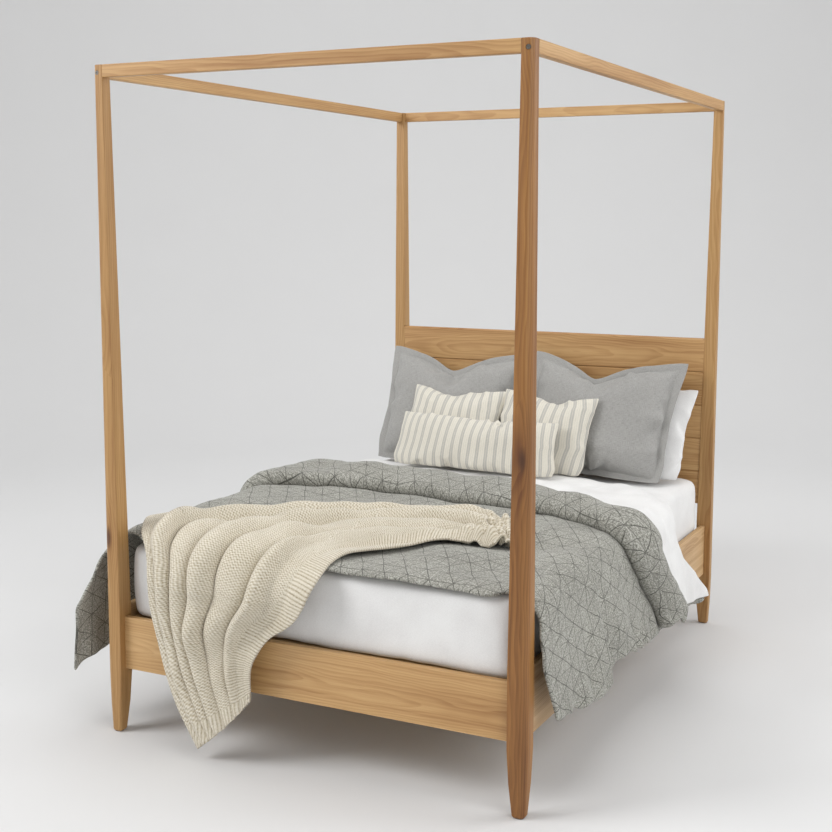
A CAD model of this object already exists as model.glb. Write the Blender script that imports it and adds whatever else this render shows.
import math

import bpy
import bmesh
import numpy as np
from mathutils import Matrix, Vector


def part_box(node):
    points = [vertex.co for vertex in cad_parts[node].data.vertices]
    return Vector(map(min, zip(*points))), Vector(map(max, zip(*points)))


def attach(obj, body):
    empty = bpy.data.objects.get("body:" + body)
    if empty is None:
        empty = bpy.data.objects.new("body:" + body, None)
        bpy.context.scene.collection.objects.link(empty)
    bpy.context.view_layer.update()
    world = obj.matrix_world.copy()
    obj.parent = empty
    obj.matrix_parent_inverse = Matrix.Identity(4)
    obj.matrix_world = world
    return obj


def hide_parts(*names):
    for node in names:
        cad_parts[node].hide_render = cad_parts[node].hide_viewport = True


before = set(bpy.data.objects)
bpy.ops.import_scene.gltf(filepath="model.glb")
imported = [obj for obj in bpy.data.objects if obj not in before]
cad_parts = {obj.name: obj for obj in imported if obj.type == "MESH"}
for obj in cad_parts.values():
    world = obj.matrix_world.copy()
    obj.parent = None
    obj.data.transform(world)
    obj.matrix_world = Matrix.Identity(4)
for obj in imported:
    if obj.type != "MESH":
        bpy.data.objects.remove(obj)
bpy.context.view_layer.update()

SCENE = bpy.context.scene


# ---------------------------------------------------------------- camera
def make_camera():
    camera = bpy.data.cameras.new("camera")
    camera.sensor_width = 36.0
    camera.lens = 57.03
    camera.shift_x = 0.0
    camera.shift_y = -0.0608
    camera.clip_end = 60.0
    obj = bpy.data.objects.new("camera", camera)
    SCENE.collection.objects.link(obj)
    # solved from the perspective of the posts and rails
    place = (2.0747, -4.3915, 1.7043)
    yaw, pitch, roll = math.radians(26.60), math.radians(-6.30), math.radians(0.148)
    turn = (Matrix.Rotation(yaw, 4, "Z") @ Matrix.Rotation(math.pi / 2 + pitch, 4, "X")
            @ Matrix.Rotation(roll, 4, "Z"))
    obj.matrix_world = Matrix.Translation(place) @ turn
    SCENE.camera = obj


make_camera()
SCENE.view_settings.view_transform = "Standard"


# ---------------------------------------------------------------- shader helpers
def rgb(r, g, b):
    """A display colour, 0 to 255, as the linear colour that a shader takes."""
    out = []
    for value in (r, g, b):
        value /= 255
        out.append(value / 12.92 if value <= 0.04045 else ((value + 0.055) / 1.055) ** 2.4)
    return (*out, 1.0)


class Shader:
    """A Principled material, and short calls that add nodes to it."""

    def __init__(self, name, roughness=0.6, **fixed):
        self.mat = bpy.data.materials.new(name)
        self.mat.use_nodes = True
        self.tree = self.mat.node_tree
        self.bsdf = self.tree.nodes["Principled BSDF"]
        self.bsdf.inputs["Roughness"].default_value = roughness
        for key, value in fixed.items():
            self.bsdf.inputs[key.replace("_", " ")].default_value = value

    def put(self, value, socket):
        if isinstance(value, bpy.types.NodeSocket):
            self.tree.links.new(value, socket)
        else:
            socket.default_value = value

    def node(self, kind, inputs=(), **props):
        node = self.tree.nodes.new("ShaderNode" + kind)
        for key, value in props.items():
            setattr(node, key, value)
        for key, value in dict(inputs).items():
            self.put(value, node.inputs[key])
        return node

    def math(self, op, a, b=0.5, c=0.5):
        return self.node("Math", {0: a, 1: b, 2: c}, operation=op).outputs[0]

    def times(self, a, b):
        return self.math("MULTIPLY", a, b)

    def times_plus(self, a, b, c):
        """a times b, plus c."""
        return self.math("MULTIPLY_ADD", a, b, c)

    def swing(self, value, amount, base):
        """base, plus amount times how far value is from 0.5."""
        return self.times_plus(self.math("SUBTRACT", value, 0.5), amount, base)

    def vec(self, op, a, b=(0, 0, 0)):
        return self.node("VectorMath", {0: a, 1: b}, operation=op).outputs[0]

    def scaled(self, vector, x, y):
        return self.vec("MULTIPLY", vector, (x, y, 1))

    def wobbled(self, uv, scale, detail, reach):
        """uv moved by up to half of reach each way, so that drawn lines aren't ruler straight."""
        noise = self.node("TexNoise", {"Vector": uv, "Scale": scale, "Detail": detail}).outputs["Color"]
        centred = self.vec("SUBTRACT", noise, (0.5, 0.5, 0.5))
        return self.vec("ADD", uv, self.vec("MULTIPLY", centred, (reach, reach, 0)))

    def weave(self, uv, weft, warp, detail=3.0, rough=0.65, share=0.5):
        """Crossing threads: noise stretched along the weft, share of it, and along the warp."""
        threads = [self.noise(self.scaled(uv, *way), 1.0, detail, rough) for way in (weft, warp)]
        return self.math("ADD", self.times(threads[0], share), self.times(threads[1], 1 - share))

    def split(self, vector):
        return self.node("SeparateXYZ", {0: vector}).outputs

    def join(self, x, y, z=0.0):
        return self.node("CombineXYZ", {0: x, 1: y, 2: z}).outputs[0]

    def noise(self, vector, scale=1.0, detail=2.0, rough=0.5):
        return self.node("TexNoise", {"Vector": vector, "Scale": scale, "Detail": detail,
                                      "Roughness": rough}).outputs[0]

    def span(self, value, low, high, to_low=0.0, to_high=1.0, smooth=True):
        """Value remapped from low..high to to_low..to_high, held at the ends."""
        return self.node("MapRange", {0: value, 1: low, 2: high, 3: to_low, 4: to_high},
                         interpolation_type="SMOOTHSTEP" if smooth else "LINEAR").outputs[0]

    def mix(self, factor, a, b):
        node = self.node("Mix", data_type="RGBA")
        for value, index in ((factor, 0), (a, 6), (b, 7)):
            self.put(value, node.inputs[index])
        return node.outputs[2]

    def ramp(self, factor, stops):
        node = self.node("ValToRGB", {0: factor})
        elements = node.color_ramp.elements
        while len(elements) < len(stops):
            elements.new(0.5)
        for element, (place, colour) in zip(elements, stops):
            element.position = place
            element.color = colour
        return node.outputs[0]

    def bump(self, height, distance, strength=1.0):
        node = self.node("Bump", {"Height": height, "Distance": distance, "Strength": strength})
        previous = self.bsdf.inputs["Normal"]
        if previous.is_linked:
            self.put(previous.links[0].from_socket, node.inputs["Normal"])
        self.put(node.outputs[0], previous)

    def set(self, **sockets):
        for key, value in sockets.items():
            self.put(value, self.bsdf.inputs[key.replace("_", " ")])
        return self.mat

    def object_point(self):
        return self.node("TexCoord").outputs["Object"]

    def flat_point(self):
        return self.node("TexCoord").outputs["UV"]


# ---------------------------------------------------------------- wood
def timber_tones(*colours):
    return {name: rgb(*colour) for name, colour in zip(("light", "mid", "dark", "knot"), colours)}


OAK = timber_tones((210, 173, 123), (191, 151, 100), (150, 105, 59), (92, 56, 30))
POST_OAK = timber_tones((181, 135, 79), (150, 103, 52), (101, 59, 26), (72, 42, 22))
REAR_OAK = timber_tones((196, 159, 108), (175, 135, 84), (140, 96, 51), (92, 56, 30))
SIDE_OAK = timber_tones((214, 182, 138), (198, 164, 119), (160, 120, 76), (100, 64, 38))
PINE = timber_tones((226, 201, 160), (214, 184, 138), (188, 148, 98), (130, 84, 48))
# for each grain axis: which coordinates run along it and across it
GRAIN = {"X": (0, 1, 2), "Y": (1, 2, 0), "Z": (2, 0, 1)}


def wood(name, axis, tones, centre, seed, heart=(0.03, 0.07), ring=0.0065, knots=0.84, gloss=0.46):
    """Oiled solid timber with its grain along one axis. heart is where the growth rings' centre lies,
    across the grain; more of the cells are knots the lower knots is."""
    s = Shader(name, gloss)
    rnd = np.random.default_rng(seed)
    point = s.vec("SUBTRACT", s.object_point(), tuple(centre))
    parts = s.split(point)
    a, b, c = (parts[i] for i in GRAIN[axis])
    shift = [float(x) for x in rnd.uniform(-40, 40, 3)]

    def stretched(along, across, offset=0.0):
        return s.join(s.times_plus(a, along, shift[0] + offset),
                      s.times_plus(b, across, shift[1] + offset),
                      s.times_plus(c, across, shift[2] - offset))

    cells = s.node("TexVoronoi", {"Vector": stretched(3.0, 8.5), "Scale": 1.0, "Randomness": 1.0})
    chosen = s.math("GREATER_THAN", s.split(cells.outputs["Color"])[0], knots)
    near_knot = s.times(s.span(cells.outputs["Distance"], 0.62, 0.0), chosen)
    knot_core = s.times(s.span(cells.outputs["Distance"], 0.17, 0.06), chosen)
    warp = s.noise(stretched(1.1, 5.0, 3.0), 1.0, 3.0, 0.55)
    figure = s.noise(stretched(3.2, 16.0, 7.0), 1.0, 2.0, 0.5)
    db = s.math("SUBTRACT", b, heart[0])
    dc = s.math("SUBTRACT", c, heart[1])
    radius = s.math("SQRT", s.math("ADD", s.times(db, db), s.times(dc, dc)))
    radius = s.swing(warp, 0.075, radius)
    radius = s.swing(figure, 0.012, radius)
    radius = s.times_plus(near_knot, 0.016, radius)
    radius = s.times_plus(a, 0.012, radius)
    phase = s.math("FRACT", s.times(radius, 1.0 / ring))
    rings = s.times(s.span(phase, 0.15, 0.86), s.span(phase, 1.0, 0.93))
    broad = s.noise(s.join(s.times(radius, 24.0), s.times(a, 0.5), shift[2]), 1.0, 2.0)
    streak = s.noise(stretched(1.4, 55.0, 1.0), 1.0, 4.0, 0.6)
    fibre = s.noise(stretched(9.0, 420.0, 2.0), 1.0, 3.0, 0.6)
    patch = s.noise(stretched(0.9, 3.0, 5.0), 1.0, 2.0)
    tone = s.swing(streak, 0.95, 0.42)
    tone = s.swing(broad, 0.75, tone)
    tone = s.times_plus(rings, 0.20, tone)
    tone = s.swing(fibre, 0.36, tone)
    tone = s.swing(patch, 0.5, tone)
    tone = s.times_plus(near_knot, 0.22, tone)
    colour = s.ramp(tone, [(0.0, tones["light"]), (0.42, tones["mid"]), (1.0, tones["dark"])])
    colour = s.mix(knot_core, colour, tones["knot"])
    pores = s.span(s.noise(stretched(26.0, 900.0, 9.0), 1.0, 2.0, 0.6), 0.64, 0.74)
    colour = s.mix(s.times(pores, 0.35), colour, tones["dark"])
    s.bump(s.math("ADD", fibre, s.times(pores, -0.7)), 0.00035, 0.5)
    rough = s.span(tone, 0.0, 1.0, gloss - 0.05, gloss + 0.1)
    return s.set(Base_Color=colour, Roughness=rough)


def plain_metal(name, colour, roughness, metallic=1.0, grain=350.0, depth=0.00008):
    s = Shader(name, roughness, Metallic=metallic)
    point = s.object_point()
    fine = s.noise(point, grain, 3.0, 0.6)
    cloud = s.noise(point, 30.0, 3.0)
    tint = s.mix(s.span(cloud, 0.3, 0.7, 0.0, 0.55), colour, tuple(0.72 * c for c in colour[:3]) + (1,))
    s.bump(fine, depth, 0.6)
    return s.set(Base_Color=tint, Roughness=s.span(fine, 0.3, 0.7, roughness - 0.08, roughness + 0.12))


def centre_of(node):
    low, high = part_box(node)
    return (low + high) / 2


def paint(node, material):
    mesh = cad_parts[node].data
    mesh.materials.clear()
    mesh.materials.append(material)


SIDES = ("left", "right")


def paint_frame():
    seed = 11
    for end in ("front", "back"):
        for side in SIDES:
            node = f"post_{end}_{side}"
            tones = POST_OAK if side == "right" and end == "front" else REAR_OAK
            paint(node, wood("oak_" + node, "Z", tones, centre_of(node), seed, (0.045, 0.05), 0.0075, 0.80))
            seed += 1
    long_pieces = [("foot_rail", "X"), ("head_rail", "X"), ("side_rail_left", "Y"), ("side_rail_right", "Y"),
                   ("canopy_rail_front", "X"), ("canopy_rail_back", "X"), ("canopy_rail_left", "Y"),
                   ("canopy_rail_right", "Y")]
    for node, axis in long_pieces + [(f"headboard_plank_{i}", "X") for i in range(1, 6)]:
        seed += 1
        heart = (0.03 + 0.012 * (seed % 5), -0.02 + 0.02 * (seed % 4))
        tones = SIDE_OAK if node.startswith("side_rail") else OAK
        paint(node, wood("oak_" + node, axis, tones, centre_of(node), seed, heart=heart))
    pine_ring = 0.009
    pine_x = wood("pine_slats", "X", PINE, centre_of("slat_07"), 71, (0.2, 0.1), pine_ring, gloss=0.62)
    pine_y = wood("pine_ledgers", "Y", PINE, centre_of("centre_beam"), 72, (0.1, 0.1), pine_ring, gloss=0.62)
    pine_z = wood("pine_legs", "Z", PINE, centre_of("centre_leg_front"), 73, (0.05, 0.05), pine_ring, gloss=0.6)
    for i in range(1, 14):
        paint(f"slat_{i:02d}", pine_x)
    for node in ("slat_ledger_left", "slat_ledger_right", "centre_beam"):
        paint(node, pine_y)
    for node in ("centre_leg_front", "centre_leg_back"):
        paint(node, pine_z)
    paint("canopy_dowels", wood("beech_dowels", "Z", PINE, centre_of("canopy_dowels"), 74, gloss=0.6))
    steel = plain_metal("black_bracket_steel", rgb(70, 68, 66), 0.45, 0.85)
    zinc = plain_metal("zinc_plated_steel", rgb(186, 186, 180), 0.32)
    bolt = plain_metal("antique_bolt_steel", rgb(128, 124, 118), 0.38)
    for node in ("post_plates", "rail_hooks", "beam_brackets"):
        paint(node, steel)
    for node in ("canopy_barrel_nuts", "ledger_screws", "slat_screws", "plate_screws"):
        paint(node, zinc)
    paint("canopy_bolts", bolt)
    paint("foot_glides", plain_metal("glide_nylon", rgb(96, 84, 72), 0.55, 0.0, 500.0, 0.0001))


paint_frame()


# ---------------------------------------------------------------- mesh helpers
def ease(x, low, high):
    """0 below low, 1 above high, smooth between."""
    t = np.clip((np.asarray(x, float) - low) / (high - low), 0, 1)
    return t * t * (3 - 2 * t)


def field(points, wavelength, seed, terms=16):
    """A smooth random field, about -1.5 to 1.5, over an array of vectors."""
    rnd = np.random.default_rng(seed)
    way = rnd.normal(size=(terms, points.shape[-1]))
    way /= np.linalg.norm(way, axis=1, keepdims=True)
    way *= (2 * math.pi / wavelength * rnd.uniform(0.6, 1.5, terms))[:, None]
    phase = rnd.uniform(0, 2 * math.pi, terms)
    return np.sin(points @ way.T + phase).sum(-1) / math.sqrt(terms / 2)


def curve(knots, t):
    """A smooth curve through knots, each (t, values...), taken at every t (Catmull-Rom)."""
    knots = np.array(knots, float)
    t = np.asarray(t, float)
    place = np.clip(np.searchsorted(knots[:, 0], t, side="right") - 1, 0, len(knots) - 2)
    times, values = knots[:, 0], knots[:, 1:]
    slope = np.gradient(values, times, axis=0)
    step = (times[place + 1] - times[place])[..., None]
    u = np.clip((t - times[place])[..., None] / step, 0, 1)
    a, b = values[place], values[place + 1]
    ma, mb = slope[place] * step, slope[place + 1] * step
    out = ((2 * u**3 - 3 * u**2 + 1) * a + (u**3 - 2 * u**2 + u) * ma
           + (-2 * u**3 + 3 * u**2) * b + (u**3 - u**2) * mb)
    return out[..., 0] if out.shape[-1] == 1 else out


def grid_normals(points):
    along = np.gradient(points, axis=0)
    across = np.gradient(points, axis=1)
    normal = np.cross(across, along)
    return normal / np.maximum(np.linalg.norm(normal, axis=-1, keepdims=True), 1e-9)


def arc_lengths(points, axis):
    step = np.linalg.norm(np.diff(points, axis=axis), axis=-1)
    total = np.cumsum(step, axis=axis)
    return np.insert(total, 0, 0, axis=axis)


def mesh_object(name, verts, faces, uvs, material):
    """uvs has one (u, v) for each vertex, in flat metres."""
    mesh = bpy.data.meshes.new(name)
    mesh.from_pydata([tuple(v) for v in verts], [], [tuple(f) for f in faces])
    layer = mesh.uv_layers.new(name="flat")
    corner = np.zeros(len(mesh.loops), np.int32)
    mesh.loops.foreach_get("vertex_index", corner)
    layer.data.foreach_set("uv", np.asarray(uvs, np.float32)[corner].ravel())
    mesh.shade_smooth()
    mesh.materials.append(material)
    obj = bpy.data.objects.new(name, mesh)
    SCENE.collection.objects.link(obj)
    return obj


def grid_faces(rows, cols, start=0):
    corners = [start + i * cols + j for i in range(rows - 1) for j in range(cols - 1)]
    return [(a, a + 1, a + cols + 1, a + cols) for a in corners]


def apply_modifiers(obj):
    bpy.context.view_layer.update()
    done = obj.evaluated_get(bpy.context.evaluated_depsgraph_get())
    mesh = bpy.data.meshes.new_from_object(done)
    old = obj.data
    obj.modifiers.clear()
    obj.data = mesh
    bpy.data.meshes.remove(old)
    mesh.name = obj.name
    mesh.shade_smooth()


def finish_soft(obj, thick=0.0, levels=1):
    """Cloth of a thickness, all of it on the inner side of the surface, then smoothed."""
    if thick:
        solid = obj.modifiers.new("thickness", "SOLIDIFY")
        solid.thickness, solid.offset = thick, -1.0
        solid.use_even_offset = False
    if levels:
        obj.modifiers.new("smooth", "SUBSURF").levels = levels
    apply_modifiers(obj)


def cloth_grid(name, points, uv, material):
    rows, cols = points.shape[:2]
    return mesh_object(name, points.reshape(-1, 3), grid_faces(rows, cols), uv.reshape(-1, 2), material)


# ---------------------------------------------------------------- places on the bed
MAT_LO, MAT_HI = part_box("mattress")
POST_LO, POST_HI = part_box("post_front_right")
BED_TOP = MAT_HI.z + 0.025       # outer face of the duvet
DUVET_THICK = 0.012
SHEET_THICK = 0.0025
THROW_THICK = 0.007
HALF = MAT_HI.x - 0.042          # where the cover starts to turn down
FOOT = MAT_LO.y - 0.024          # duvet hem over the foot edge
DROP_STEP = 0.004                # spacing of the drop tables, and how many lengths they hold
DROP_COUNT = 220
FLARE_STEPS = 20                 # from the plain drop to the flared one
HEM_ZONE = (0.34, 0.48)          # lengths past the edge over which the drape starts to ripple


def drop_table():
    """How steeply the cover falls at each length past the edge: plain drop, and flared drop."""
    d = np.arange(DROP_COUNT) * DROP_STEP
    plain = np.radians(82) * ease(d, 0.0, 0.17)
    flared = np.radians(50) * ease(d, -0.02, 0.09) + np.radians(36) * ease(d, 0.22, 0.40)
    return np.stack([plain, flared])


DROP_ANGLE = drop_table()


def side_profile(d, flare):
    """Angle, outward run and fall at length d past the edge, flare from 0 to 1."""
    shares = np.linspace(0, 1, FLARE_STEPS + 1)
    angle = DROP_ANGLE[0][None] * (1 - shares[:, None]) + DROP_ANGLE[1][None] * shares[:, None]
    out = np.cumsum(np.cos(angle), 1) * DROP_STEP
    fall = np.cumsum(np.sin(angle), 1) * DROP_STEP
    out -= out[:, :1]
    fall -= fall[:, :1]
    i = np.clip(d / DROP_STEP, 0, DROP_COUNT - 1.001)
    k = np.clip(flare * FLARE_STEPS, 0, FLARE_STEPS - 0.001)
    i0, k0 = i.astype(int), k.astype(int)
    i_part, k_part = i - i0, k - k0

    def look(table):
        low = table[k0, i0] * (1 - i_part) + table[k0, i0 + 1] * i_part
        high = table[k0 + 1, i0] * (1 - i_part) + table[k0 + 1, i0 + 1] * i_part
        return low * (1 - k_part) + high * k_part

    return look(angle), look(out), look(fall)


def cover(p, y, lift=0.0, ripple=1.0):
    """A point on the outer face of the bedding, at length p across the bed from its middle, and at y.
    lift is how far outside that face the point is. Also gives the face's normal."""
    p, y = np.broadcast_arrays(np.asarray(p, float), np.asarray(y, float))
    side = np.sign(p)
    d = np.maximum(np.abs(p) - HALF, 0)
    flare = np.where(side < 0, 0.16 + 0.84 * (1 - ease(y, -1.0, -0.62)), 0.10 * (1 - ease(y, -1.0, -0.5)))
    angle, out, fall = side_profile(d, flare)
    inner = np.minimum(np.abs(p), HALF)
    crown = 0.010 * (inner / HALF) ** 4
    droop = 0.002 * ease(-y, 0.90, 1.02) * (1 - ease(d, 0.0, 0.1))
    belly = 0.055 * np.exp(-((d - 0.15) / 0.12) ** 2) * (side < 0) * (1 - ease(y, -0.85, -0.25))
    loft = 0.038 * np.exp(-((p + 0.70) / 0.17) ** 2) * (1 - ease(y, -0.10, 0.30))
    loft = loft * (0.45 + 0.55 * ease(y, -1.03, -0.85))
    point = np.stack([side * (inner + out + belly), y, BED_TOP - crown - droop - fall + loft], -1)
    normal = np.stack([side * np.sin(angle), np.zeros_like(y), np.cos(angle)], -1)
    flat = np.stack([p, y], -1)
    amount = 0.0045 * field(flat, 0.42, 3) + 0.0013 * field(flat, 0.16, 4)
    amount = amount + 0.0012 * field(flat * np.array([1.0, 2.2]), 0.09, 5) * ease(d, 0.0, 0.08)
    waves = field(np.stack([y - 0.5 * d * (y > -0.5), 0.3 * p], -1), 0.34, 6)
    waves = waves + 0.2 * field(flat * np.array([0.2, 1]), 0.13, 7)
    amount = amount + 0.011 * ease(d, 0.06, 0.50) * waves
    amount = np.where(d > 0.05, np.maximum(amount, -0.004), amount) * ripple
    return point + normal * (amount + lift)[..., None], normal


# ---------------------------------------------------------------- fabrics
def white_cotton(name, creases=0.35):
    s = Shader(name, 0.82, Sheen_Weight=0.12, Sheen_Roughness=0.5)
    uv = s.flat_point()
    point = s.object_point()
    weave = s.weave(uv, (160, 900), (900, 160), detail=2.0, rough=0.6)
    cloud = s.noise(point, 7.0, 3.0)
    tone = s.swing(cloud, 0.6, weave)
    colour = s.mix(s.span(tone, 0.3, 0.7), rgb(220, 219, 218), rgb(233, 233, 232))
    s.bump(s.noise(point, 16.0, 3.0, 0.5), 0.004, creases)
    s.bump(weave, 0.0004, 0.5)
    return s.set(Base_Color=colour)


def linen(name, base, deep, light):
    s = Shader(name, 0.88, Sheen_Weight=0.15, Sheen_Roughness=0.5)
    uv = s.flat_point()
    weave = s.weave(uv, (70, 900), (900, 70), share=0.55)
    colour = s.ramp(s.span(weave, 0.32, 0.68), [(0.0, deep), (0.5, base), (1.0, light)])
    cloud = s.noise(s.object_point(), 9.0, 3.0)
    colour = s.mix(s.span(cloud, 0.3, 0.75, 0.0, 0.20), colour, deep)
    s.bump(weave, 0.0003, 0.4)
    return s.set(Base_Color=colour)


def striped_ticking(name, pitch=0.038):
    s = Shader(name, 0.86, Sheen_Weight=0.15, Sheen_Roughness=0.5)
    uv = s.flat_point()
    wander = s.noise(s.scaled(uv, 30, 6), 1.0, 2.0)
    phase = s.math("PINGPONG", s.swing(wander, 0.003, s.split(uv)[0]), pitch / 2)
    band = s.times(s.span(phase, 0.0085, 0.0062), s.span(phase, 0.0006, 0.0020, 0.45, 1.0))
    thin = s.times(s.span(phase, 0.0135, 0.0145), s.span(phase, 0.0165, 0.0155))
    band = s.math("MAXIMUM", band, s.times(thin, 0.35))
    weave = s.weave(uv, (90, 850), (850, 60))
    cream = s.mix(s.span(weave, 0.3, 0.7), rgb(208, 203, 189), rgb(224, 220, 208))
    grey = s.mix(s.span(weave, 0.3, 0.7), rgb(170, 168, 161), rgb(194, 191, 184))
    s.bump(s.times_plus(band, 0.35, weave), 0.0006, 0.7)
    return s.set(Base_Color=s.mix(band, cream, grey))


def duvet_jacquard(name, cell=0.076, line=0.0012):
    """Melange grey cloth with fine dark lines: a triangular lattice with six-ray hubs, and paler cross lines."""
    s = Shader(name, 0.9, Sheen_Weight=0.12, Sheen_Roughness=0.5)
    uv = s.flat_point()
    presence = s.node("TexNoise", {"Vector": s.scaled(uv, 11, 11), "Scale": 1.0, "Detail": 1.0})
    shares = s.split(presence.outputs["Color"])
    x, y, _ = s.split(s.wobbled(uv, 7.0, 1.0, 0.020))

    def stripes(degrees, spacing, width, share, low, high, least=0.0):
        """Parallel lines at an angle, shown only where share is above low to high."""
        angle = math.radians(degrees)
        turned = s.times_plus(x, math.cos(angle), s.times(y, math.sin(angle)))
        nearest = s.math("PINGPONG", turned, spacing / 2)
        return s.times(s.span(nearest, width * 1.7, width * 0.5), s.span(share, low, high, least))

    def union(values):
        total = values[0]
        for value in values[1:]:
            total = s.math("MAXIMUM", total, value)
        return total

    height = cell * math.sqrt(3) / 2
    main, fine, pale = [], [], []
    for k in range(3):
        main.append(stripes(90 + 60 * k, height, line, shares[k], 0.32, 0.46, least=0.35))
        fine.append(stripes(60 * k, cell / 2, line * 0.8, shares[(k + 1) % 3], 0.52, 0.58))
        pale.append(stripes(60 * k, cell / 2, line * 1.3, shares[k], 0.56, 0.62))
    drawn = s.math("MAXIMUM", union(main), s.times(union(fine), 0.70))
    threads = s.noise(s.scaled(uv, 420, 420), 1.0, 2.0, 0.6)
    knots = s.noise(s.scaled(uv, 190, 190), 1.0, 1.0, 0.5)
    fleck = s.times_plus(threads, 0.55, s.times(knots, 0.45))
    cloud = s.noise(uv, 6.0, 3.0)
    tone = s.swing(cloud, 0.10, fleck)
    colour = s.ramp(s.span(tone, 0.36, 0.64, smooth=False),
                    [(0.0, rgb(98, 97, 89)), (0.5, rgb(146, 145, 137)), (1.0, rgb(196, 196, 187))])
    colour = s.mix(s.times(union(pale), 0.35), colour, rgb(206, 205, 198))
    colour = s.mix(s.times(drawn, 0.85), colour, rgb(62, 61, 55))
    s.bump(s.times_plus(drawn, -0.5, fleck), 0.0005, 0.4)
    return s.set(Base_Color=colour)


def chunky_knit(name, row=0.0095, stitch=0.0068, border=0.055):
    """Stitches in rows: u runs along a row, v across the rows, both in flat metres. v is 0 at the hem and u
    at the long front edge, which both have a ribbed border."""
    s = Shader(name, 0.95, Sheen_Weight=0.25, Sheen_Roughness=0.45)
    uv = s.wobbled(s.flat_point(), 30.0, 2.0, 0.004)
    u, v, _ = s.split(uv)
    turn_v = s.times(v, 2 * math.pi / row)
    turn_u = s.times(u, math.pi / stitch)
    across = s.math("ABSOLUTE", s.math("SINE", s.times(turn_v, 0.5)))
    moss = s.times_plus(s.times(s.math("SINE", turn_u), s.math("SINE", turn_v)), 0.40, 0.40)
    loops = s.times_plus(across, 0.30, moss)
    ribs = s.math("ABSOLUTE", s.math("SINE", s.times(u, math.pi / 0.010)))
    ribbed = s.times_plus(ribs, 0.60, 0.22)
    at_hem = s.span(v, border + 0.003, border - 0.003)
    loops = s.times_plus(at_hem, s.math("SUBTRACT", ribbed, loops), loops)
    side_ribs = s.math("ABSOLUTE", s.math("SINE", s.times(v, math.pi / 0.014)))
    at_side = s.times(s.span(u, 0.088, 0.082), s.span(v, border - 0.003, border + 0.003))
    side_ribs = s.times_plus(side_ribs, 0.65, 0.15)
    loops = s.times_plus(at_side, s.math("SUBTRACT", side_ribs, loops), loops)
    lumps = s.noise(s.scaled(uv, 170, 170), 1.0, 2.0, 0.6)
    fibre = s.noise(s.scaled(uv, 700, 700), 1.0, 4.0, 0.75)
    loops = s.swing(lumps, 0.9, loops)
    height = s.swing(fibre, 0.35, loops)
    cloud = s.noise(uv, 9.0, 3.0)
    tone = s.swing(cloud, 0.25, height)
    colour = s.ramp(s.span(tone, 0.0, 1.0, smooth=False),
                    [(0.0, rgb(148, 131, 102)), (0.35, rgb(192, 182, 160)), (0.75, rgb(218, 210, 193)),
                     (1.0, rgb(230, 224, 210))])
    s.bump(height, 0.0028, 0.7)
    return s.set(Base_Color=colour)


WHITE = white_cotton("white_fitted_cotton", creases=0.15)
SHEET_WHITE = white_cotton("white_sheet_cotton")
PILLOW_WHITE = white_cotton("white_pillow_cotton")
GREY_LINEN = linen("grey_linen", rgb(157, 156, 153), rgb(138, 137, 134), rgb(174, 173, 170))
TICKING = striped_ticking("striped_linen")
JACQUARD = duvet_jacquard("grey_jacquard")
KNIT = chunky_knit("cream_knit")


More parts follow.
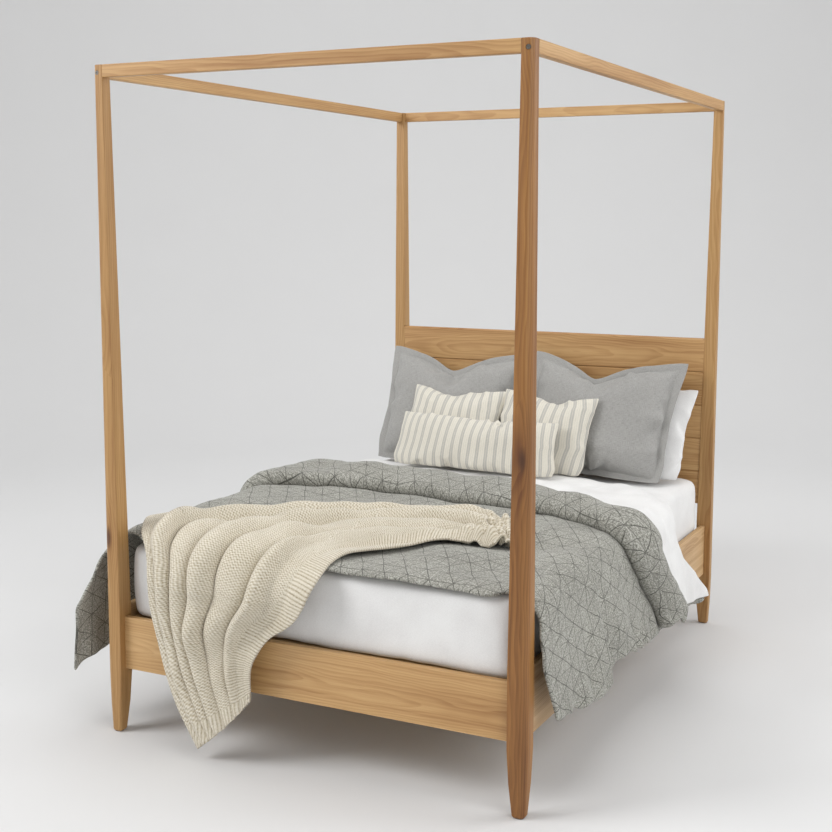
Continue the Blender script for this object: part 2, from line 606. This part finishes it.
# ---------------------------------------------------------------- mattress
def make_mattress():
    half = np.array([(MAT_HI.x - MAT_LO.x) / 2, (MAT_HI.y - MAT_LO.y) / 2, (MAT_HI.z - MAT_LO.z) / 2])
    middle = np.array((MAT_LO + MAT_HI) / 2)
    plan_r, top_r, low_r = 0.050, 0.040, 0.030
    counts = (56, 80, 12)
    bm = bmesh.new()
    for axis in range(3):
        i, j = [k for k in range(3) if k != axis]
        for sign in (-1, 1):
            a = np.linspace(-1, 1, counts[i] + 1)
            b = np.linspace(-1, 1, counts[j] + 1)
            rows = []
            for s in a:
                row = []
                for t in b:
                    place = [0.0] * 3
                    place[axis], place[i], place[j] = sign, s, t
                    row.append(bm.verts.new([float(p * h) for p, h in zip(place, half)]))
                rows.append(row)
            for r0, r1 in zip(rows, rows[1:]):
                for k in range(len(r0) - 1):
                    bm.faces.new((r0[k], r1[k], r1[k + 1], r0[k + 1]))
    bmesh.ops.remove_doubles(bm, verts=bm.verts, dist=1e-5)
    bmesh.ops.recalc_face_normals(bm, faces=bm.faces)
    for vert in bm.verts:
        x, y, z = vert.co
        qx, qy = max(abs(x) - (half[0] - plan_r), 0), max(abs(y) - (half[1] - plan_r), 0)
        if qx > 0 and qy > 0:
            kx = qx * math.sqrt(1 - qy * qy / (2 * plan_r**2))
            ky = qy * math.sqrt(1 - qx * qx / (2 * plan_r**2))
            x = math.copysign(half[0] - plan_r + kx, x)
            y = math.copysign(half[1] - plan_r + ky, y)
            reach = math.hypot(kx, ky)
            inset = plan_r - reach
            way = (kx / max(reach, 1e-9) * np.sign(x), ky / max(reach, 1e-9) * np.sign(y))
        elif half[0] - abs(x) < half[1] - abs(y):
            inset, way = half[0] - abs(x), (float(np.sign(x)), 0.0)
        else:
            inset, way = half[1] - abs(y), (0.0, float(np.sign(y)))
        for sign, r in ((1, top_r), (-1, low_r)):
            depth = half[2] - sign * z
            if depth < 1e-6 and inset < r:
                turn = math.pi / 4 * (1 + inset / r)
            elif inset < 1e-6 and depth < r:
                turn = math.pi / 4 * (1 - depth / r)
            else:
                continue
            move = inset - r * (1 - math.cos(turn))
            x += way[0] * move
            y += way[1] * move
            z = sign * (half[2] - r * (1 - math.sin(turn)))
            break
        vert.co = (x, y, z)
    bm.normal_update()
    points = np.array([v.co for v in bm.verts])
    near_ends = ease(np.abs(points[:, 1]), half[1] - 0.3, half[1])
    soft = 0.0016 * field(points, 0.30, 21)
    soft = soft + 0.0010 * field(points * np.array([1, 1, 0.4]), 0.07, 22) * near_ends
    belly = 0.004 * (1 - (points[:, 2] / half[2]) ** 2)
    for vert, s, b in zip(bm.verts, soft, belly):
        sideways = 1 - abs(vert.normal.z)
        vert.co += vert.normal * float(s + b * sideways - 0.003) + Vector(middle)
    mesh = bpy.data.meshes.new("fitted_mattress")
    bm.to_mesh(mesh)
    bm.free()
    layer = mesh.uv_layers.new(name="flat")
    for loop, corner in zip(mesh.loops, layer.data):
        p = mesh.vertices[loop.vertex_index].co
        corner.uv = (p.x + 0.7 * p.z, p.y + 0.7 * p.z)
    mesh.shade_smooth()
    mesh.materials.append(WHITE)
    obj = bpy.data.objects.new("fitted_mattress", mesh)
    SCENE.collection.objects.link(obj)
    obj.modifiers.new("smooth", "SUBSURF").levels = 1
    apply_modifiers(obj)
    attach(obj, "root")
    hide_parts("mattress")


make_mattress()


# ---------------------------------------------------------------- duvet and top sheet
# Lines across the bed, as (p, y): p is the length across the bedding from its middle. The turned-back band
# lies between the first two, and the sheet ends at the third.
BAND_FRONT = [(-1.25, -0.04), (-0.90, -0.15), (-0.76, -0.16), (-0.60, -0.02), (-0.38, 0.08), (0.0, 0.04),
              (0.32, 0.01), (0.50, -0.03), (0.62, -0.09), (0.72, -0.14), (0.80, -0.125), (0.90, -0.045),
              (1.02, 0.075), (1.20, 0.20)]
BAND_BACK = [(-1.25, 0.46), (-0.90, 0.40), (-0.68, 0.36), (0.0, 0.285), (0.32, 0.225), (0.50, 0.135), (0.62, 0.06),
             (0.72, 0.025), (0.82, 0.055), (0.92, 0.140), (1.06, 0.250), (1.20, 0.345)]
SHEET_BACK = [(-1.25, 0.70), (-0.90, 0.68), (-0.68, 0.665), (0.0, 0.66), (0.50, 0.62), (0.66, 0.50), (0.78, 0.42),
              (0.92, 0.455), (1.04, 0.565), (1.20, 0.69)]
COLS = 170


def across_bed(cols, left, right, edge_share=0.30):
    """Lengths p across the bed for each column, from the left hem to the right hem. left and right, the
    lengths of the two drapes, may vary by row."""
    s = np.linspace(0, 1, cols)
    left, right = np.asarray(left, float)[..., None], np.asarray(right, float)[..., None]
    inner = -HALF + 2 * HALF * (s - edge_share) / (1 - 2 * edge_share)
    lower = -HALF - left * (1 - s / edge_share)
    upper = HALF + right * (1 - (1 - s) / edge_share)
    return np.where(s < edge_share, lower, np.where(s > 1 - edge_share, upper, inner))


def duvet_foot(p):
    """Where the foot hem lies: in front of the mattress between the posts, behind each post, and forward
    again on the left drape."""
    near_post = POST_HI.y + 0.012
    y = FOOT + (near_post - FOOT) * ease(np.abs(p), POST_LO.x - 0.10, POST_LO.x - 0.02)
    d = np.abs(p) - HALF
    y = y + np.where(p < 0, -0.075 * ease(d, 0.16, 0.34), 0)
    y = y + np.where(p > 0, -0.016 * ease(d, 0.12, 0.25) + 0.05 * ease(d, 0.26, 0.46), 0)
    return y + 0.004 * np.sin(p * 17.0) * (1 - ease(d, -0.05, 0.02))


def hem_drop(y, side):
    """Length of the drape past the edge at each y."""
    if side > 0:
        knots = [(-1.05, 0.445), (-0.90, 0.452), (-0.70, 0.480), (-0.56, 0.486), (-0.47, 0.452), (-0.30, 0.442),
                 (-0.05, 0.478), (0.20, 0.492), (0.45, 0.500), (0.75, 0.505)]
    else:
        knots = [(-1.05, 0.548), (-0.98, 0.522), (-0.88, 0.498), (-0.60, 0.470), (-0.20, 0.466),
                 (0.30, 0.482), (0.75, 0.490)]
    return curve(knots, y)


def hem_ruffle(y):
    """How far the last few centimetres of the drape ripple in and out."""
    return 0.007 * field(np.asarray(y)[..., None], 0.13, 31)


def make_duvet():
    rows = 112
    t = np.linspace(0, 1, rows)
    guess_y = -1.0 + 1.68 * t
    p = across_bed(COLS, hem_drop(guess_y, -1), hem_drop(guess_y, 1))
    start = duvet_foot(p)
    end = curve(SHEET_BACK, p) + 0.012 * ease(np.abs(p), HALF + 0.30, HALF + 0.46)
    end = end - 0.03 * (1 - ease(np.abs(p), HALF - 0.1, HALF + 0.1))
    y = start + (end - start) * t[:, None]
    lift = -0.016 * ease(y, curve(BAND_BACK, p) - 0.10, curve(BAND_BACK, p))
    lift = lift - 0.014 * np.exp(-((y - curve(BAND_FRONT, p)) / 0.035) ** 2)
    p = across_bed(COLS, hem_drop(y[:, 0], -1), hem_drop(y[:, -1], 1))
    points, normal = cover(p, y, lift)
    depth = np.abs(p) - HALF
    hem = ease(depth, *HEM_ZONE)
    points += normal * (hem * hem_ruffle(y))[..., None]
    points[..., 2] += hem * 0.004 * field(y[..., None], 0.11, 32)
    foot_roll = ease(t, 0.022, 0.0)[:, None] * (1 - ease(depth, -0.05, 0.02))
    points[..., 2] -= 0.008 * foot_roll
    uv = np.stack([p, y], -1)
    verts = [points.reshape(-1, 3)]
    uvs = [uv.reshape(-1, 2)]
    faces = grid_faces(rows, COLS)
    # the turned-back band: the same cloth lying on itself, rounded at both edges
    turn, flat, tuck = 7, 22, 4
    q = p[rows // 2]
    front, back = curve(BAND_FRONT, q), curve(BAND_BACK, q)
    low, high = 0.017, 0.021
    puff = (0.022 + 0.010 * ease(np.abs(q), HALF, HALF + 0.15)) * (1 + 0.15 * field(q[:, None], 0.40, 41))
    path = []
    for a in np.linspace(-0.5 * math.pi, 0.5 * math.pi, turn):
        path.append((back + low * math.cos(a), low * (1 + math.sin(a)) + 0 * q, 0.0))
    for share in np.linspace(0, 1, flat + 2)[1:-1]:
        rise = 2 * (low + (high - low) * share) + puff * math.sin(math.pi * share) ** 0.8
        path.append((back + (front - back) * share, rise, share))
    for a in np.linspace(0.5 * math.pi, 1.45 * math.pi, turn + 2):
        path.append((front + high * math.cos(a) * 1.1, high * (1 + math.sin(a)) + 0 * q, 1.0))
    for k in range(1, tuck + 1):
        path.append((front + 0.012 * k, 0.001 + 0 * q, 1.0))
    band_y = np.array([row[0] for row in path])
    band_lift = np.array([row[1] for row in path])
    shares = np.array([row[2] for row in path])[:, None]
    reach = np.where(q < 0, hem_drop(band_y, -1), hem_drop(band_y, 1))
    limit = np.minimum(np.abs(q), HALF + reach - 0.006)
    band_p = np.sign(q) * limit
    inner = band_lift < 0.025
    wrinkle = 0.0030 * field(np.stack([band_p, band_y * 0.6], -1), 0.17, 42)
    wrinkle = wrinkle + 0.0008 * field(np.stack([band_p, band_y], -1), 0.06, 43)
    end_pinch = ease(np.abs(band_p) - HALF, 0.36, 0.50)
    band_lift = band_lift * (1 - 0.35 * end_pinch)
    band, _ = cover(band_p, band_y, band_lift - 0.006 + np.where(inner, 0, wrinkle), 0.9)
    band[..., 2] += end_pinch * 0.008 * field(band_y[..., None], 0.10, 44)
    start_index = rows * COLS
    verts.append(band.reshape(-1, 3))
    length = arc_lengths(band, 0)
    uvs.append(np.stack([np.broadcast_to(q, length.shape), 0.7 - length], -1).reshape(-1, 2))
    faces += grid_faces(len(path), COLS, start_index)
    obj = mesh_object("duvet_cover", np.concatenate(verts), faces, np.concatenate(uvs), JACQUARD)
    finish_soft(obj, DUVET_THICK, 1)
    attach(obj, "root")
    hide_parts("duvet")


def make_top_sheet():
    rows = 34
    t = np.linspace(0, 1, rows)
    y_guess = 0.1 + 0.55 * t
    p = across_bed(COLS, hem_drop(y_guess, -1) - 0.012, hem_drop(y_guess, 1) - 0.020)
    start, end = curve(BAND_BACK, p) - 0.07, curve(SHEET_BACK, p)
    y = start + (end - start) * t[:, None]
    crease = 0.0016 * field(np.stack([p * 0.5, y], -1), 0.12, 51)
    crease = crease + 0.0010 * field(np.stack([p, y * 0.4], -1), 0.08, 52)
    band_back = curve(BAND_BACK, p)
    lift = 0.0045 - 0.010 * ease(y, band_back + 0.05, band_back) + crease * ease(y, band_back, band_back + 0.05)
    lift = lift - 0.010 * ease(t, 0.92, 1.0)[:, None] * (1 - ease(np.abs(p), HALF, HALF + 0.1))
    points, normal = cover(p, y, lift)
    points += normal * (ease(np.abs(p) - HALF, *HEM_ZONE) * hem_ruffle(y))[..., None]
    uv = np.stack([p, y], -1)
    obj = cloth_grid("turned_top_sheet", points, uv, SHEET_WHITE)
    finish_soft(obj, SHEET_THICK)
    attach(obj, "root")
    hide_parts("top_sheet")


make_duvet()
make_top_sheet()


# ---------------------------------------------------------------- throw
HANG_Y = POST_LO.y - 0.012       # plane in which the throw hangs, in front of the foot rail
HANG_TOP = 0.540                 # where it starts to hang straight
EDGE_Y = -0.905                  # where it leaves the top of the bed


def foot_table():
    """The throw's path over the foot of the bed: length, y, z. Length 0 is where it starts to hang straight."""
    angle = np.linspace(0, math.pi / 2, 40)
    y = HANG_Y + (EDGE_Y - HANG_Y) * (1 - np.cos(angle))
    z = HANG_TOP + (BED_TOP - HANG_TOP) * np.sin(angle)
    length = np.insert(np.cumsum(np.hypot(np.diff(y), np.diff(z))), 0, 0)
    return length, y, z


FOOT_PATH = foot_table()
TURN_LENGTH = float(FOOT_PATH[0][-1])
THROW_RAISE = 0.042              # added to every q below
# Both long edges of the throw, from the bunched end to the hem: (share, x, q), q the length above HANG_TOP
THROW_FRONT = [(0.00, 0.452, 0.470), (0.10, 0.360, 0.485), (0.20, 0.275, 0.455), (0.32, 0.190, 0.340),
               (0.45, 0.120, 0.205), (0.56, 0.085, 0.100), (0.64, 0.066, 0.020), (0.72, 0.004, -0.095),
               (0.79, -0.085, -0.160), (0.86, -0.135, -0.230), (1.00, -0.150, -0.365)]
THROW_BACK = [(0.00, 0.470, 0.580), (0.10, 0.375, 0.770), (0.19, 0.222, 0.880), (0.29, 0.010, 0.880),
              (0.38, -0.200, 0.800), (0.47, -0.425, 0.600), (0.55, -0.580, 0.420), (0.62, -0.668, 0.260),
              (0.70, -0.645, 0.120), (0.77, -0.565, 0.020), (0.86, -0.530, -0.150), (0.93, -0.445, -0.390),
              (1.00, -0.345, -0.550)]
THROW_ROW = 0.0095               # one row of stitches
ROPE_FOLDS = 6.0


def throw_base(x, q):
    """Point on the bed or in the hanging plane, for x and the length q above the hang's top."""
    length, path_y, path_z = FOOT_PATH
    y_arc = np.interp(q, length, path_y)
    z_arc = np.interp(q, length, path_z)
    hang = np.minimum(q, 0)
    y_hang = HANG_Y + 0.05 * hang
    on_top = q > TURN_LENGTH
    y = np.where(on_top, EDGE_Y + (q - TURN_LENGTH), np.where(q < 0, y_hang, y_arc))
    top, _ = cover(x, np.maximum(y, EDGE_Y))
    base_top, _ = cover(x, np.full_like(y, EDGE_Y))
    drop = BED_TOP - base_top[..., 2]
    z = np.where(on_top, top[..., 2], np.where(q < 0, HANG_TOP + hang, z_arc - drop * ease(q, 0.0, TURN_LENGTH)))
    px = np.where(on_top, top[..., 0], np.where(q < 0, x, x + (base_top[..., 0] - x) * ease(q, 0, TURN_LENGTH)))
    return np.stack([px, y, z], -1)


def make_throw():
    cols, fine_rows = 150, 520
    b = np.linspace(0, 1, fine_rows)
    front, back = curve(THROW_FRONT, b), curve(THROW_BACK, b)
    share = np.linspace(0, 1, cols)[None, :]
    flat = front[:, None, :] * (1 - share[..., None]) + back[:, None, :] * share[..., None]
    # outward bow of the bunched end and of the hem
    x, q = flat[..., 0], flat[..., 1] + THROW_RAISE
    x = x + 0.045 * np.sin(math.pi * share) * ease(b, 0.12, 0.0)[:, None]
    q = q - 0.012 * np.sin(math.pi * share) * ease(b, 0.92, 1.0)[:, None]
    x = np.where(q > 0, x + (np.maximum(x, -0.700) - x) * ease(q, 0.0, TURN_LENGTH), x)
    base = throw_base(x, q)
    normal = grid_normals(base)
    normal = np.where((normal[..., 2:3] + 0.6 * -normal[..., 1:2]) < 0, -normal, normal)
    # long rope-like folds that run from the bunched end over the foot
    bb = b[:, None]
    sway = 0.020 * np.sin(5.0 * bb + 1.0) + 0.012 * np.sin(9.0 * bb + 4.0 * share)
    phase = (share + sway) * ROPE_FOLDS + 0.16 * np.sin(6 * share + 2.0) + 0.45
    saw = 2 * np.mod(phase, 1.0) - 1
    rope = np.clip(1 - np.abs(saw) ** 2.2, 0, 1) ** 0.75
    which = np.floor(phase)
    uneven = 0.88 + 0.22 * np.sin(which * 2.4 + 0.8) + 0.12 * np.sin(9 * bb + which * 1.7)
    strength = curve([(0.0, 0.034), (0.12, 0.044), (0.28, 0.046), (0.45, 0.050), (0.58, 0.060), (0.70, 0.066),
                      (0.80, 0.058), (0.90, 0.040), (1.0, 0.018)], b)[:, None]
    flap = ease(share, 0.0, 0.22) * (1 - ease(bb, 0.45, 0.55)) + ease(share, 0.17, 0.23) * ease(bb, 0.45, 0.55)
    strength = strength * (0.15 + 0.85 * flap)
    edge_calm = ease(share, 1.0, 0.80) * 0.94 + 0.06
    lump = field(np.stack([x, q], -1), 0.20, 61)
    height = strength * rope * uneven * edge_calm * (0.92 + 0.10 * lump)
    crumple = field(np.stack([x * 1.2, q], -1), 0.085, 62)
    height = height + 0.024 * np.maximum(crumple, -0.4) * ease(b, 0.20, 0.0)[:, None]
    for _ in range(2):
        height[:, 1:-1] = 0.25 * height[:, :-2] + 0.5 * height[:, 1:-1] + 0.25 * height[:, 2:]
    down_middle = arc_lengths(base, 0)[:, cols // 2][:, None]
    rows_up = 0.0006 * (0.5 - 0.5 * np.cos(2 * math.pi * down_middle / THROW_ROW))
    points = base + normal * (0.009 + height + rows_up)[..., None]
    u = arc_lengths(points, 1)
    v = arc_lengths(points, 0).mean(1)[:, None]
    v = np.broadcast_to(v[-1] - v, u.shape)
    obj = cloth_grid("knitted_throw", points, np.stack([u, v], -1), KNIT)
    obj.data.flip_normals()
    finish_soft(obj, THROW_THICK, 0)
    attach(obj, "root")
    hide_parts("throw")


make_throw()


# ---------------------------------------------------------------- pillows and cushions
BLOW_FRAMES = 20
CAD_LEAN = 22                    # degrees that the CAD's pillows and cushions lean back


def two_layers(front, back):
    """Two grids that share their rim: vertices, faces, each layer's vertex numbers, and which cells are inside."""
    rows, cols = front.shape[:2]
    inside = np.zeros((rows, cols), bool)
    inside[1:-1, 1:-1] = True
    index = np.arange(rows * cols).reshape(rows, cols)
    back_index = index.copy()
    back_index[inside] = rows * cols + np.arange(inside.sum())
    faces = []
    for i in range(rows - 1):
        for j in range(cols - 1):
            for layer, (di, dj) in ((index, (0, 1)), (back_index, (1, 0))):
                face = layer[i, j], layer[i + di, j + dj], layer[i + 1, j + 1], layer[i + dj, j + di]
                faces.append(tuple(int(k) for k in face))
    return np.concatenate([front.reshape(-1, 3), back[inside]]), faces, index, back_index, inside


def inflate(width, height, cells, seed):
    """Two flat layers of cloth joined at their edge, blown up by Cloth. Gives the front and the back as grids."""
    rows, cols = cells
    x = np.linspace(-width / 2, width / 2, cols)
    z = np.linspace(-height / 2, height / 2, rows)
    gx, gz = np.meshgrid(x, z)
    lens = 0.012 * np.sqrt((1 - (2 * gx / width) ** 2) * (1 - (2 * gz / height) ** 2))
    lens = lens + 0.0008 * field(np.stack([gx, gz], -1), 0.06, seed) * (lens > 0)
    front = np.stack([gx, -lens, gz], -1)
    back = np.stack([gx, lens, gz], -1)
    verts, faces, index, back_index, _ = two_layers(front, back)
    mesh = bpy.data.meshes.new("blown")
    mesh.from_pydata([tuple(v) for v in verts], [], faces)
    obj = bpy.data.objects.new("blown", mesh)
    SCENE.collection.objects.link(obj)
    cloth = obj.modifiers.new("cloth", "CLOTH")
    for key, value in dict(quality=7, mass=0.25, tension_stiffness=60, compression_stiffness=40, shear_stiffness=12,
                           bending_stiffness=0.6, tension_damping=15, use_pressure=True,
                           uniform_pressure_force=5.0).items():
        setattr(cloth.settings, key, value)
    cloth.settings.effector_weights.gravity = 0.0
    cloth.collision_settings.use_collision = False
    cloth.point_cache.frame_end = BLOW_FRAMES
    for frame_number in range(1, BLOW_FRAMES + 1):
        SCENE.frame_set(frame_number)
    done = obj.evaluated_get(bpy.context.evaluated_depsgraph_get())
    co = np.zeros(len(verts) * 3)
    done.data.vertices.foreach_get("co", co)
    co = co.reshape(-1, 3)
    bpy.data.objects.remove(obj)
    bpy.data.meshes.remove(mesh)
    SCENE.frame_set(1)
    return co[index.ravel()].reshape(rows, cols, 3), co[back_index.ravel()].reshape(rows, cols, 3)


def smooth_grid(grid):
    inner = (grid[:-2, 1:-1] + grid[2:, 1:-1] + grid[1:-1, :-2] + grid[1:-1, 2:]) / 4
    grid[1:-1, 1:-1] = 0.5 * grid[1:-1, 1:-1] + 0.5 * inner


def square_up(front, back, width, height, pull=0.022, share=0.85):
    """Takes most of the pull out of the edges, so they bow in only a little between the corners."""
    for axis, size in ((0, width), (2, height)):
        edge_low = front[:, 0, 0] if axis == 0 else front[0, :, 2]
        edge_high = front[:, -1, 0] if axis == 0 else front[-1, :, 2]
        along = np.linspace(-1, 1, len(edge_low))
        target = size / 2 * (1 - pull * (1 - along**2))
        for grid in (front, back):
            value = grid[..., axis]
            low, high, wanted = (line[:, None] if axis == 0 else line[None] for line in (edge_low, edge_high, target))
            scale_high, scale_low = wanted / np.maximum(high, 1e-6), wanted / np.maximum(-low, 1e-6)
            scale = np.where(value > 0, scale_high, scale_low)
            grid[..., axis] = value * (1 + share * (scale - 1))


def add_flange(front, back, flange, cells, seed):
    """Both layers carried on past the seam as a flat border, with a pinched line at the seam."""
    rows, cols = front.shape[:2]
    step = flange / cells
    out = []
    for grid, sign in ((front, -1), (back, 1)):
        big = np.zeros((rows + 2 * cells, cols + 2 * cells, 3))
        for i in range(rows + 2 * cells):
            for j in range(cols + 2 * cells):
                ci, cj = min(max(i - cells, 0), rows - 1), min(max(j - cells, 0), cols - 1)
                di, dj = (i - cells) - ci, (j - cells) - cj
                point = front[ci, cj].copy() if (di or dj) else grid[ci, cj].copy()
                if di or dj:
                    point[0] += dj * step
                    point[2] += di * step
                    point[1] += sign * 0.0022
                big[i, j] = point
        wave = 0.003 * field(big[..., ::2], 0.25, seed) + 0.0008 * field(big[..., ::2], 0.07, seed + 1)
        far = np.maximum(np.abs(np.arange(rows + 2 * cells) - cells - (rows - 1) / 2)[:, None] - (rows - 1) / 2,
                         np.abs(np.arange(cols + 2 * cells) - cells - (cols - 1) / 2)[None, :] - (cols - 1) / 2)
        big[..., 1] += wave * np.clip(far / cells, 0, 1)
        out.append(big)
    edge = (out[0] + out[1]) / 2
    for big in out:
        big[0], big[-1], big[:, 0], big[:, -1] = edge[0], edge[-1], edge[:, 0], edge[:, -1]
    return out


def cushion(name, node, material, size, thick, place, lean=22, roll=0, flange=0.0, dip=0.03, dip_at=0.0,
            dip_wide=0.16, ears=0.0, cells=(34, 44), seed=1, rest=0.664, taper=0.0):
    """size is the finished width and height with its flange; place is the bottom middle of the leaning piece.
    dip is the chop in its top edge, ears how far its upper corners stand up, rest the height that it lies on."""
    width, height = size
    front, back = inflate(width - 2 * flange, height - 2 * flange, cells, seed)
    deep = max(np.ptp(back[..., 1] - front[..., 1]), 1e-6)
    span_x, span_z = np.ptp(front[..., 0]), np.ptp(front[..., 2])
    for grid in (front, back):
        grid[..., 1] *= thick / deep
        grid[..., 0] *= (width - 2 * flange) * 0.985 / span_x
        grid[..., 2] *= (height - 2 * flange) * 0.985 / span_z
        smooth_grid(grid)
    square_up(front, back, width - 2 * flange, height - 2 * flange)
    if flange:
        front, back = add_flange(front, back, flange, 5, seed + 50)
    rows, cols = front.shape[:2]
    for grid in (front, back):
        x, z = grid[..., 0].copy(), grid[..., 2].copy()
        up = z / height + 0.5
        middle = np.exp(-((x - dip_at) / dip_wide) ** 2)
        chop = np.exp(-np.abs((x - dip_at) / (dip_wide * 0.55)) ** 1.6)
        high = ease(up, 0.25, 1.0)
        grid[..., 2] -= dip * (0.65 * middle + 0.35 * chop) * high
        grid[..., 1] *= 1 - 0.28 * chop * ease(up, 0.55, 1.0)
        corner = ease(np.abs(x) / (width / 2), 0.55, 1.0) * ease(up, 0.6, 1.0)
        grid[..., 2] += ears * corner
        grid[..., 0] += 0.4 * ears * corner * np.sign(x)
        grid[..., 1] += 0.015 * corner
        low_corner = ease(np.abs(x) / (width / 2), 0.78, 1.0) * ease(up, 0.22, 0.0)
        grid[..., 0] -= 0.020 * low_corner * np.sign(x)
        grid[..., 2] += 0.012 * low_corner
        sag = ease(up, 0.35, 0.0)
        grid[..., 1] *= 1 + 0.30 * sag * (1 - ease(np.abs(x) / (width / 2), 0.7, 1.0))
        grid[..., 0] *= 1 - 0.02 * ease(np.abs(up - 0.5), 0.5, 0.0)
        grid[..., 0] *= 1 - taper * (up - 0.5)
        grid[..., 2] += height / 2
    turn = np.array(Matrix.Rotation(math.radians(-lean), 3, "X") @ Matrix.Rotation(math.radians(roll), 3, "Y"))
    front, back = (g @ turn.T + np.array(place) for g in (front, back))
    press = 0.02                 # over this height the cloth flattens onto what it lies on
    for grid in (front, back):
        under = rest + press - grid[..., 2]
        pressed = rest + press * np.exp(-np.clip(under, 0, 1) / press)
        grid[..., 2] = np.where(under > 0, pressed, grid[..., 2])
    verts, faces, _, _, inside = two_layers(front, back)
    uu, vv = np.meshgrid(np.linspace(-width / 2, width / 2, cols), np.linspace(0, height, rows))
    uv = np.stack([uu, vv], -1)
    uvs = np.concatenate([uv.reshape(-1, 2), uv[inside]])
    obj = mesh_object(name, verts, faces, uvs, material)
    finish_soft(obj)
    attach(obj, "root")
    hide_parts(node)


def base_of(node, height, dx=0.0, dz=0.0):
    """Bottom middle of a leaning CAD piece: its box's middle, moved half its height down the lean."""
    middle = centre_of(node)
    tilt = math.radians(CAD_LEAN)
    return (middle.x + dx, middle.y - height / 2 * math.sin(tilt), middle.z - height / 2 * math.cos(tilt) + dz)


def make_pillows():
    for side, dx, roll, seed in (("left", 0.0, 1.0, 101), ("right", -0.005, 2.5, 103)):
        node = "bed_pillow_" + side
        cushion("white_pillow_" + side, node, PILLOW_WHITE, (0.65, 0.41), 0.13,
                base_of(node, 0.40, dx, -0.015), lean=22, dip=0.02, ears=0.010, cells=(34, 50),
                seed=seed, roll=roll, rest=0.640)
    for side, dx, roll, seed, dip_at in (("left", 0.0, 0.5, 111, -0.01), ("right", -0.022, 2.2, 113, -0.04)):
        node = "euro_sham_" + side
        cushion("linen_sham_" + side, node, GREY_LINEN, (0.66, 0.535), 0.18,
                base_of(node, 0.52, dx, -0.020), lean=24, roll=roll, flange=0.034, dip=0.078, dip_at=dip_at,
                dip_wide=0.14, ears=0.014, cells=(38, 46), seed=seed, rest=0.644, taper=-0.03)
    for side, dx, roll, seed, dip_at, width in (("left", -0.022, 1.0, 121, -0.03, 0.44),
                                                ("right", -0.038, 2.5, 123, 0.02, 0.42)):
        node = "striped_cushion_" + side
        cushion("ticking_cushion_" + side, node, TICKING, (width, 0.355), 0.12,
                base_of(node, 0.35, dx, -0.034), lean=22, roll=roll, dip=0.030, dip_at=dip_at, dip_wide=0.09,
                ears=0.010, cells=(32, 38), seed=seed)
    cushion("ticking_lumbar", "lumbar_cushion", TICKING, (0.74, 0.245), 0.115,
            base_of("lumbar_cushion", 0.235, 0.0, -0.024), lean=20, roll=0.5, dip=0.004, dip_wide=0.2, ears=0.0,
            cells=(26, 62), seed=131, taper=0.07)


make_pillows()


# ---------------------------------------------------------------- stage and light
def area_light(name, place, target, size, power):
    light = bpy.data.lights.new(name, "AREA")
    light.shape = "RECTANGLE"
    light.size, light.size_y = size
    light.energy = power
    obj = bpy.data.objects.new(name, light)
    SCENE.collection.objects.link(obj)
    obj.location = place
    obj.rotation_euler = (Vector(target) - Vector(place)).to_track_quat("-Z", "Y").to_euler()
    obj.visible_camera = False


def make_stage():
    """A round studio: a flat floor that curves up into a wall, far enough out for a camera on any side."""
    floor_r, curve_r, top, around, steps = 5.0, 4.4, 8.0, 128, 24
    profile = [(floor_r * k / 6, 0.0) for k in range(1, 7)]
    for i in range(1, steps + 1):
        angle = math.pi / 2 * i / steps
        profile.append((floor_r + curve_r * math.sin(angle), curve_r - curve_r * math.cos(angle)))
    profile.append((floor_r + curve_r, top))
    bm = bmesh.new()
    centre = bm.verts.new((0, 0, 0))
    rings = []
    for radius, height in profile:
        turns = [2 * math.pi * k / around for k in range(around)]
        rings.append([bm.verts.new((radius * math.cos(turn), radius * math.sin(turn), height)) for turn in turns])
    for k in range(around):
        bm.faces.new((centre, rings[0][k], rings[0][(k + 1) % around]))
        for low, high in zip(rings, rings[1:]):
            bm.faces.new((low[k], high[k], high[(k + 1) % around], low[(k + 1) % around]))
    mesh = bpy.data.meshes.new("studio_floor")
    bm.to_mesh(mesh)
    bm.free()
    mesh.shade_smooth()
    obj = bpy.data.objects.new("studio_floor", mesh)
    SCENE.collection.objects.link(obj)
    s = Shader("studio_paint", 0.9)
    mottle = s.noise(s.object_point(), 1.5, 3.0)
    mesh.materials.append(s.set(Base_Color=s.mix(mottle, (0.725, 0.725, 0.725, 1), (0.745, 0.745, 0.745, 1))))


make_stage()
area_light("key_left", (-4.2, -4.2, 4.6), (0, 0, 0.6), (3.0, 3.0), 262)
area_light("fill_right", (4.5, -3.5, 3.2), (0, 0, 0.8), (3.5, 3.0), 95)
area_light("rim_right", (5.0, 2.5, 3.5), (0, 0, 0.6), (3.5, 3.0), 132)
area_light("top", (0, 0.5, 6.0), (0, 0, 0), (5.0, 5.0), 125)
area_light("wall_wash", (-1.4, 3.4, 4.6), (-4.2, 8.4, 2.2), (4.0, 1.5), 84)
world = bpy.data.worlds.new("world")
SCENE.world = world
world.use_nodes = True
world.node_tree.nodes["Background"].inputs["Color"].default_value = (1, 1, 1, 1)
world.node_tree.nodes["Background"].inputs["Strength"].default_value = 0.29
